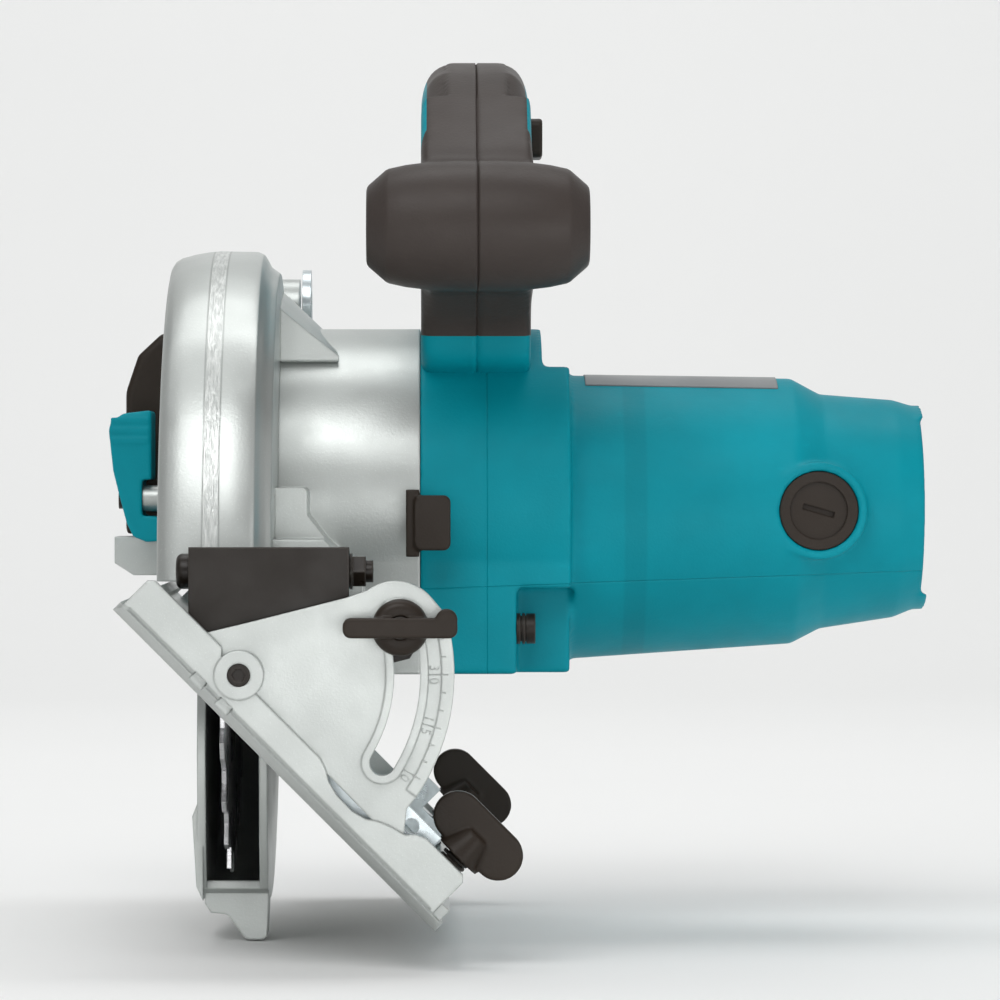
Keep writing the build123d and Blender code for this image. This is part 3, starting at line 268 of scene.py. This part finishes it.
TEAL = (0.0, 0.255, 0.32)
BLACK = (0.024, 0.017, 0.012)
MATS = {
    "cast": painted_cast("silver_casting"),
    "case": ground_cast("ground_casting"),
    "teal": moulded("teal_plastic", TEAL, 0.48, spec=0.13),
    "housing": housing_plastic("teal_housing"),
    "soft": moulded("soft_grip", (0.046, 0.037, 0.033), 0.45, 1100, 0.0001),
    "black": moulded("black_plastic", BLACK, 0.4),
    "steel_black": black_steel(),
    "zinc": bare_steel("zinc_plate", (0.60, 0.66, 0.68), 0.28),
    "steel": bare_steel("machined_steel", (0.55, 0.55, 0.56), 0.3, (12, 1, 1)),
    "blade": bare_steel("blade_steel", (0.62, 0.62, 0.63), 0.27, (1, 4, 4)),
    "label": moulded("label_foil", (0.20, 0.21, 0.215), 0.35, 900, 0.00002),
    "copper": bare_steel("copper_wire", (0.55, 0.25, 0.11), 0.35, (10, 1, 1)),
    "iron": bare_steel("laminated_steel", (0.25, 0.25, 0.26), 0.45, (40, 1, 1)),
    "carbon": moulded("carbon", (0.02, 0.02, 0.02), 0.6),
}

FINISH = {
    "case": ["blade_case"],
    "cast": ["gear_housing", "base_plate", "lower_guard"],
    "steel": ["bearing_box", "shaft_bearings", "spindle", "helical_gear", "inner_flange", "outer_flange",
              "armature", "guard_spring"],
    "blade": ["saw_blade"],
    "steel_black": ["blade_bolt", "retaining_ring", "front_bracket", "pivot_bolt", "pivot_nut", "front_hinge_pin",
                    "rear_hinge_pin", "bevel_bolt", "bevel_washer", "depth_bolt", "guard_lever_screw",
                    "handle_screws", "case_screws", "housing_screws", "fence_springs"],
    "zinc": ["depth_guide", "fence_guides", "depth_washer"],
    "teal": ["motor_housing", "handle_left", "handle_right", "guard_lever"],
    "soft": ["grip_left", "grip_right", "guard_stop"],
    "black": ["dust_nozzle", "trigger", "switch_body", "lock_off_button", "cord_gland", "brush_caps", "bevel_lever",
              "depth_lever", "fence_knob_front", "fence_knob_rear", "shaft_lock", "baffle_plate", "cooling_fan",
              "brush_holders"],
    "label": ["label_plate"],
    "iron": ["stator_core"],
    "copper": ["armature_windings", "field_coils", "commutator"],
    "carbon": ["carbon_brushes"],
}


def dress(obj, finish):
    """Give one object one material."""
    obj.data.materials.clear()
    obj.data.materials.append(MATS[finish].mat)


for finish, names in FINISH.items():
    for name in names:
        dress(NODES[name], finish)


# ---------------------------------------------------------------- mesh helpers
def smoothing_group():
    """Geometry nodes that join the CAD's split vertices and shade all but sharp edges smooth."""
    g = bpy.data.node_groups.new("weld_and_smooth", "GeometryNodeTree")
    g.interface.new_socket("Geometry", in_out="INPUT", socket_type="NodeSocketGeometry")
    g.interface.new_socket("Geometry", in_out="OUTPUT", socket_type="NodeSocketGeometry")
    start, end = g.nodes.new("NodeGroupInput"), g.nodes.new("NodeGroupOutput")
    weld = g.nodes.new("GeometryNodeMergeByDistance")
    weld.inputs["Distance"].default_value = 2e-6
    angle = g.nodes.new("GeometryNodeInputMeshEdgeAngle")
    flat = g.nodes.new("FunctionNodeCompare")
    flat.operation = "LESS_EQUAL"
    flat.inputs[1].default_value = math.radians(30)
    faces = g.nodes.new("GeometryNodeSetShadeSmooth")
    edges = g.nodes.new("GeometryNodeSetShadeSmooth")
    edges.domain = "EDGE"
    g.links.new(start.outputs[0], weld.inputs["Geometry"])
    g.links.new(weld.outputs[0], faces.inputs["Geometry"])
    g.links.new(faces.outputs[0], edges.inputs["Geometry"])
    g.links.new(angle.outputs["Unsigned Angle"], flat.inputs[0])
    g.links.new(flat.outputs[0], edges.inputs["Shade Smooth"])
    g.links.new(edges.outputs[0], end.inputs[0])
    return g


SMOOTHING = smoothing_group()
for node in NODES.values():
    if "custom_normal" in node.data.attributes:
        node.data.attributes.remove(node.data.attributes["custom_normal"])
    node.modifiers.new("smoothing", "NODES").node_group = SMOOTHING


def place(name, mesh, body, slot, finish, *nodes):
    """Show one finished mesh on a body, in the row frame, in place of some CAD nodes."""
    obj = bpy.data.objects.new(name, mesh)
    bpy.context.scene.collection.objects.link(obj)
    dress(obj, finish)
    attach(obj, body)
    if nodes:
        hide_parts(*nodes)
    return obj


def result_of(obj):
    """The mesh an object has after its modifiers; the object is removed."""
    graph = bpy.context.evaluated_depsgraph_get()
    mesh = bpy.data.meshes.new_from_object(obj.evaluated_get(graph))
    mesh.transform(obj.matrix_world)
    bpy.data.objects.remove(obj)
    return mesh


def moulding(mesh, voxel, rounds):
    """Remesh to even faces and round every edge, as in a moulding."""
    obj = bpy.data.objects.new("moulding", mesh)
    bpy.context.scene.collection.objects.link(obj)
    remesh = obj.modifiers.new("remesh", "REMESH")
    remesh.mode = "VOXEL"
    remesh.voxel_size = voxel / 1000
    soften = obj.modifiers.new("soften", "SMOOTH")
    soften.factor = 0.5
    soften.iterations = rounds
    out = result_of(obj)
    out.shade_smooth()
    return out


def node_mesh(*names):
    """One mesh with copies of some CAD nodes."""
    bm = bmesh.new()
    for name in names:
        bm.from_mesh(NODES[name].data)
    bmesh.ops.remove_doubles(bm, verts=bm.verts, dist=2e-6)
    mesh = bpy.data.meshes.new(names[0] + "_copy")
    bm.to_mesh(mesh)
    bm.free()
    return mesh


def softened(node, body, slot, finish, voxel, rounds, added=()):
    """A moulded or cast version of one CAD node, with some small solids joined on."""
    mesh = moulding(joined([node_mesh(node), *added]), voxel, rounds)
    return place(node + "_moulded", mesh, body, slot, finish, node)


def polygon_solid(outlines, x0, x1):
    """A slab between two X values, smooth through (y, z) points; the second outline is a hole."""
    curve = bpy.data.curves.new("outline", "CURVE")
    curve.dimensions = "2D"
    curve.fill_mode = "BOTH"
    curve.resolution_u = 8
    for points in outlines:
        spline = curve.splines.new("BEZIER")
        spline.bezier_points.add(len(points) - 1)
        for knot, (y, z) in zip(spline.bezier_points, points):
            knot.co = (y / 1000, z / 1000, 0)
            knot.handle_left_type = knot.handle_right_type = "AUTO"
        spline.use_cyclic_u = True
    curve.extrude = (x1 - x0) / 2000
    obj = bpy.data.objects.new("outline", curve)
    bpy.context.scene.collection.objects.link(obj)
    turn = Matrix(((0, 0, 1, 0), (1, 0, 0, 0), (0, 1, 0, 0), (0, 0, 0, 1)))
    obj.matrix_world = Matrix.Translation(D((x0 + x1) / 2, 0, 0)) @ turn
    bpy.context.view_layer.update()
    return result_of(obj)


def box_mesh(x0, x1, y0, y1, z0, z1):
    bm = bmesh.new()
    bmesh.ops.create_cube(bm, size=1)
    lo, hi = D(x0, y0, z0), D(x1, y1, z1)
    for v in bm.verts:
        v.co = Vector((lo[k] + (hi[k] - lo[k]) * (v.co[k] + 0.5) for k in range(3)))
    mesh = bpy.data.meshes.new("box")
    bm.to_mesh(mesh)
    bm.free()
    return mesh


def joined(meshes):
    bm = bmesh.new()
    for m in meshes:
        bm.from_mesh(m)
    out = bpy.data.meshes.new("joined")
    bm.to_mesh(out)
    bm.free()
    return out


def cut(mesh, *tools):
    """Mesh minus closed tool meshes."""
    obj = bpy.data.objects.new("cut", mesh)
    bpy.context.scene.collection.objects.link(obj)
    for k, tool in enumerate(tools):
        t = bpy.data.objects.new(f"tool_{k}", tool)
        bpy.context.scene.collection.objects.link(t)
        b = obj.modifiers.new("cut", "BOOLEAN")
        b.operation = "DIFFERENCE"
        b.object = t
        b.solver = "EXACT"
    bpy.context.view_layer.update()
    out = result_of(obj)
    for o in [o for o in bpy.data.objects if o.name.startswith("tool_")]:
        bpy.data.objects.remove(o)
    return out


def lathe(points, centre, steps=96):
    """A mesh turned about X, from (distance along the axis, radius) points in millimetres."""
    bm = bmesh.new()
    rings = []
    for along, r in points:
        ring = []
        for k in range(steps):
            a = 2 * math.pi * k / steps
            ring.append(bm.verts.new(centre + Vector((along, r * math.cos(a), r * math.sin(a))) / 1000))
        rings.append(ring)
    for a, b in zip(rings, rings[1:]):
        for k in range(steps):
            j = (k + 1) % steps
            bm.faces.new((a[k], a[j], b[j], b[k]))
    bm.faces.new(list(reversed(rings[0])))
    bm.faces.new(rings[-1])
    bmesh.ops.recalc_face_normals(bm, faces=bm.faces)
    mesh = bpy.data.meshes.new("lathe")
    bm.to_mesh(mesh)
    bm.free()
    mesh.shade_smooth()
    mesh.set_sharp_from_angle(angle=math.radians(38))
    return mesh


# ---------------------------------------------------------------- handle
HX = 70.7
HANDLE_OUTER = [(-50, 113), (-30, 134), (-4, 149.3), (22, 153.7), (50, 149.8), (84, 136), (116, 113), (138, 88),
                (142.6, 66), (132, 51), (104, 42), (74, 31), (64, 17), (20, 10), (0, 30), (-9, 59), (-22, 66),
                (-26, 74), (-46, 90)]
HANDLE_GAP = [(-20, 84), (-12, 103), (8, 117), (34, 119), (64, 110), (92, 94), (106, 78), (104, 68), (88, 60),
              (70, 62), (54, 74), (30, 82), (4, 82)]
SOFT_AREA = [(-80, 60), (-80, 175), (170, 175), (170, 92), (150, 92), (112, 101), (60, 127), (22, 134), (-5, 130),
             (-26, 108), (-14, 84), (-12, 73), (-24, 72.5)]


def inside_distance(points, y, z):
    """Distance to a polygon's edge, positive inside it."""
    best, inside = 1e9, False
    for (y0, z0), (y1, z1) in zip(points, points[1:] + points[:1]):
        dy, dz = y1 - y0, z1 - z0
        t = max(0.0, min(1.0, ((y - y0) * dy + (z - z0) * dz) / (dy * dy + dz * dz)))
        best = min(best, math.hypot(y - y0 - t * dy, z - z0 - t * dz))
        if (z0 > z) != (z1 > z) and y < y0 + (z - z0) / dz * dy:
            inside = not inside
    return best if inside else -best


def crown(mesh):
    """Narrow the handle towards its outer edge above the front grip, for a rounded back."""
    for v in mesh.vertices:
        p = (v.co - SPINDLE) * 1000
        depth = inside_distance(HANDLE_OUTER, p.y, p.z)
        if p.z > 96 and p.y > -20 and depth < 13:
            bend = 1 - max(0.0, depth) / 13
            v.co.x += (HX - p.x) * 0.5 * (1 - math.sqrt(1 - bend * bend * 0.96)) / 1000
    return mesh


def softness(co):
    """Positive where the handle is covered by the soft grip."""
    p = (co - SPINDLE) * 1000
    side = 14.3 - abs(p.x - HX)
    if p.y < -18:
        side += max(0.0, min(20.0, (98 - p.z) * 2)) + max(0.0, (-34 - p.y) * 0.8)
    return min(side, inside_distance(SOFT_AREA, p.y, p.z))


def split(mesh, measure):
    """Two meshes, where a measure of the vertex place is positive and where it isn't, cut cleanly between."""
    bm = bmesh.new()
    bm.from_mesh(mesh)
    bmesh.ops.triangulate(bm, faces=bm.faces)
    values = [measure(v.co) for v in bm.verts]
    bm.verts.index_update()
    sides = (([], []), ([], []))
    for face in bm.faces:
        corners = [(v.co.copy(), values[v.index]) for v in face.verts]
        for side, sign in ((0, 1), (1, -1)):
            ring = []
            for (p, a), (q, b) in zip(corners, corners[1:] + corners[:1]):
                if a * sign > 0:
                    ring.append(p)
                if (a > 0) != (b > 0):
                    ring.append(p.lerp(q, a / (a - b)))
            if len(ring) >= 3:
                first = len(sides[side][0])
                sides[side][0].extend(ring)
                sides[side][1].append(list(range(first, first + len(ring))))
    bm.free()
    out = []
    for verts, faces in sides:
        m = bpy.data.meshes.new("part")
        m.from_pydata([tuple(v) for v in verts], [], faces)
        b = bmesh.new()
        b.from_mesh(m)
        bmesh.ops.remove_doubles(b, verts=b.verts, dist=3e-6)
        b.to_mesh(m)
        b.free()
        m.shade_smooth()
        out.append(m)
    return out


def half(mesh, side):
    """The part of a mesh left (-1) or right (1) of the handle's seam, its edge rolled into the seam."""
    bm = bmesh.new()
    bm.from_mesh(mesh)
    seam = D(HX, 0, 0)
    bm.normal_update()
    found = bmesh.ops.bisect_plane(bm, geom=bm.verts[:] + bm.edges[:] + bm.faces[:], plane_co=seam,
                                   plane_no=(-side, 0, 0), clear_outer=True)
    for v in found["geom_cut"]:
        if isinstance(v, bmesh.types.BMVert):
            v.co -= v.normal * 0.0006
    out = bpy.data.meshes.new("half")
    bm.to_mesh(out)
    bm.free()
    out.shade_smooth()
    return out


BARREL = [(0, 17.5), (0.5, 18.05), (6, 18.05), (14, 17.65), (20, 16.9), (24.6, 15.9), (25.6, 15.4), (26.4, 14.7),
          (30.2, 11.4), (30.7, 10.7), (30.9, 9.8), (30.9, 0.3)]


def make_handle():
    """Moulded D handle: teal shells with the soft grip over the top, the neck and the front barrel."""
    slab = polygon_solid([HANDLE_OUTER, HANDLE_GAP], HX - 15.9, HX + 15.5)
    neck_outline = [(-62, 92), (-38, 84), (-20, 92), (-24, 120), (-38, 122), (-60, 114)]
    neck = polygon_solid([neck_outline], HX - 15.6, HX + 16)
    loop = crown(moulding(joined([slab, neck]), 1.25, 20))
    loop = cut(loop, box_mesh(HX - 8.2, HX + 8.2, 10, 46, 96, 130), box_mesh(80.0, 95, 2, 18.6, 124.4, 137))
    soft, hard = split(loop, softness)
    for side, word in ((-1, "left"), (1, "right")):
        shell = half(hard, side)
        place(f"handle_{word}_shell", shell, "saw_body", "teal_plastic", "teal", f"handle_{word}")
        barrel = lathe([(side * x, r) for x, r in BARREL], D(HX, *GRIP_CENTRE))
        skin = joined([half(soft, side), barrel])
        skin.shade_smooth()
        skin.set_sharp_from_angle(angle=math.radians(40))
        place(f"grip_{word}_skin", skin, "saw_body", "soft_grip", "soft", f"grip_{word}")


make_handle()


# ---------------------------------------------------------------- moulded and cast pieces
def make_moulded():
    ridges = [box_mesh(-37.2, -26, 30.2, 40, z - 0.8, z + 0.8) for z in (49.0, 46.0, 43.0)]
    softened("motor_housing", "saw_body", "teal_plastic", "housing", 0.85, 3)
    softened("guard_lever", "guard", "teal_plastic", "teal", 0.5, 3, ridges)
    softened("dust_nozzle", "saw_body", "black_plastic", "black", 1.0, 6)
    softened("fence_knob_front", "front_knob", "black_plastic", "black", 0.5, 3)
    softened("fence_knob_rear", "rear_knob", "black_plastic", "black", 0.5, 3)
    softened("bevel_lever", "bevel_handle", "black_plastic", "black", 0.4, 4)
    softened("depth_lever", "depth_handle", "black_plastic", "black", 0.6, 4)
    softened("trigger", "trigger", "black_plastic", "black", 0.6, 4)
    softened("shaft_lock", "shaft_lock", "black_plastic", "black", 0.4, 2)


make_moulded()


def base_point(u, y, n):
    """A point on the tilted base, from its flat place about the bevel hinge."""
    k = math.sqrt(0.5)
    return D(BEVEL_HINGE[0] + (u + n) * k, y, BEVEL_HINGE[1] + (n - u) * k)


def make_springs():
    """Springs under the wing bolts, as real coils."""
    for word, y in KNOB_Y.items():
        curve = bpy.data.curves.new("coil", "CURVE")
        curve.dimensions = "3D"
        curve.bevel_depth = 0.00055
        curve.bevel_resolution = 3
        spline = curve.splines.new("POLY")
        turns, steps = 5, 28
        spline.points.add(turns * steps)
        for k in range(turns * steps + 1):
            a = 2 * math.pi * k / steps
            n = -0.5 + 6.2 * k / (turns * steps)
            p = base_point(KNOB_U + 3.5 * math.cos(a), y + 3.5 * math.sin(a), n)
            spline.points[k].co = (*p, 1)
        obj = bpy.data.objects.new("coil", curve)
        bpy.context.scene.collection.objects.link(obj)
        mesh = result_of(obj)
        mesh.shade_smooth()
        nodes = ("fence_springs",) if word == "front" else ()
        place(f"fence_spring_{word}", mesh, "base", "black_steel", "steel_black", *nodes)


make_springs()


def glyph(character, height):
    """A raised character as a mesh in its own XY plane, centred, 0.5 mm thick."""
    curve = bpy.data.curves.new("glyph", "FONT")
    curve.body = character
    curve.size = height / 0.69
    curve.extrude = 0.25
    curve.offset = -0.02
    curve.align_x = "CENTER"
    curve.align_y = "CENTER"
    obj = bpy.data.objects.new("glyph", curve)
    bpy.context.scene.collection.objects.link(obj)
    return result_of(obj)


def bar_mesh(length, width):
    """A raised bar in its own XY plane, long in Y, 0.5 mm thick."""
    bm = bmesh.new()
    bmesh.ops.create_cube(bm, size=1)
    for v in bm.verts:
        v.co = Vector((v.co.x * width * (0.8 if v.co.z > 0 else 1.2), v.co.y * length, v.co.z * 0.5))
    mesh = bpy.data.meshes.new("bar")
    bm.to_mesh(mesh)
    bm.free()
    return mesh


def on_quadrant(mesh, degrees, radius, along, y):
    """Lay a flat mesh in millimetres on the quadrant's face, its top outwards from the bevel hinge."""
    a = math.radians(degrees)
    out = Vector((math.cos(a), 0, math.sin(a)))
    across = Vector((math.sin(a), 0, -math.cos(a)))
    place_at = D(BEVEL_HINGE[0], y, BEVEL_HINGE[1]) + (out * radius + across * along) / 1000
    turn = Matrix((across, out, Vector((0, -1, 0)))).transposed().to_4x4()
    mesh.transform(Matrix.Translation(place_at) @ turn @ Matrix.Scale(0.001, 4))
    return mesh


def make_scale():
    """Raised degree marks and numbers round the bevel quadrant."""
    pieces = []
    for degrees, left, right in ((-30, "", "0"), (-15, "1", "5"), (0, "3", "0"), (15, "4", "5")):
        pieces.append(on_quadrant(bar_mesh(3.0, 0.32), degrees, SCALE_R, 0, QUADRANT_Y))
        for word, along in ((left, -1.75), (right, 1.75)):
            if word:
                pieces.append(on_quadrant(glyph(word, 2.5), degrees, SCALE_R, along, QUADRANT_Y))
    for k in range(9):
        tick = bar_mesh(1.4 if k % 3 else 2.2, 0.4)
        pieces.append(on_quadrant(tick, -30 + 5 * k, TICK_R, 0, RIM_Y))
    place("bevel_scale_marks", joined(pieces), "base", "cast_aluminium", "cast")


make_scale()


# ---------------------------------------------------------------- stage, light and camera
def make_backdrop():
    """Pale floor that curves up into a wall."""
    profile = [(-2.2, 0.0), (1.6, 0.0)]
    for k in range(1, 13):
        a = math.radians(90 * k / 12)
        profile.append((1.6 + 0.9 * math.sin(a), 0.9 - 0.9 * math.cos(a)))
    profile.append((2.5, 3.2))
    bm = bmesh.new()
    rows = [[bm.verts.new((x, y, z)) for y, z in profile] for x in (-3.2, 3.2)]
    for k in range(len(profile) - 1):
        bm.faces.new((rows[0][k], rows[1][k], rows[1][k + 1], rows[0][k + 1]))
    mesh = bpy.data.meshes.new("floor")
    bm.to_mesh(mesh)
    bm.free()
    mesh.shade_smooth()
    floor = bpy.data.objects.new("floor", mesh)
    bpy.context.scene.collection.objects.link(floor)
    s = Shader("floor_paper", (0.86, 0.865, 0.86), 0.75)
    s.colour(s.mix(s.noise(3, 3), (0.85, 0.855, 0.85), (0.87, 0.875, 0.87)))
    s.bump(s.noise(60, 3), 0.0005, 0.1)
    mesh.materials.append(s.mat)
    floor.location.z = -0.0005


def area_light(name, place, aim, size, power, tall=None):
    data = bpy.data.lights.new(name, "AREA")
    data.energy = power
    data.size = size
    if tall:
        data.shape = "RECTANGLE"
        data.size_y = tall
    light = bpy.data.objects.new(name, data)
    light.location = place
    light.rotation_euler = (Vector(aim) - Vector(place)).to_track_quat("-Z", "Y").to_euler()
    bpy.context.scene.collection.objects.link(light)


def light_and_camera():
    world = bpy.data.worlds.new("studio")
    world.use_nodes = True
    world.node_tree.nodes["Background"].inputs["Color"].default_value = (1, 1, 1, 1)
    world.node_tree.nodes["Background"].inputs["Strength"].default_value = 0.34
    bpy.context.scene.world = world
    area_light("key", (-0.4, -1.35, 1.5), (0, 0, 0.13), 1.3, 17, 1.0)
    area_light("front", (-1.1, -1.8, 0.45), (0, 0, 0.12), 0.7, 2)
    area_light("fill", (1.4, -1.2, 0.5), (0, 0, 0.12), 0.8, 2)
    area_light("bounce", (0.25, -0.75, 0.02), (0.05, 0, 0.1), 0.9, 2.2, 0.3)
    area_light("top", (0.1, 0.35, 1.9), (0, 0, 0.1), 1.0, 1)
    area_light("wall", (0, 0.7, 2.2), (0, 2.2, 0.6), 2.0, 30)
    cam = bpy.data.cameras.new("camera")
    cam.sensor_width = 36
    cam.lens = 180.07
    cam.shift_x = 0.065
    cam.shift_y = -0.020
    cam.clip_start = 0.05
    cam.clip_end = 20
    cam.dof.use_dof = False
    eye = bpy.data.objects.new("camera", cam)
    eye.location = D(58.8, -1450, 31.3)
    eye.rotation_euler = (math.radians(90), 0, 0)
    bpy.context.scene.collection.objects.link(eye)
    bpy.context.scene.camera = eye
    bpy.context.scene.view_settings.view_transform = "Standard"
    bpy.context.scene.view_settings.look = "None"


make_backdrop()
light_and_camera()
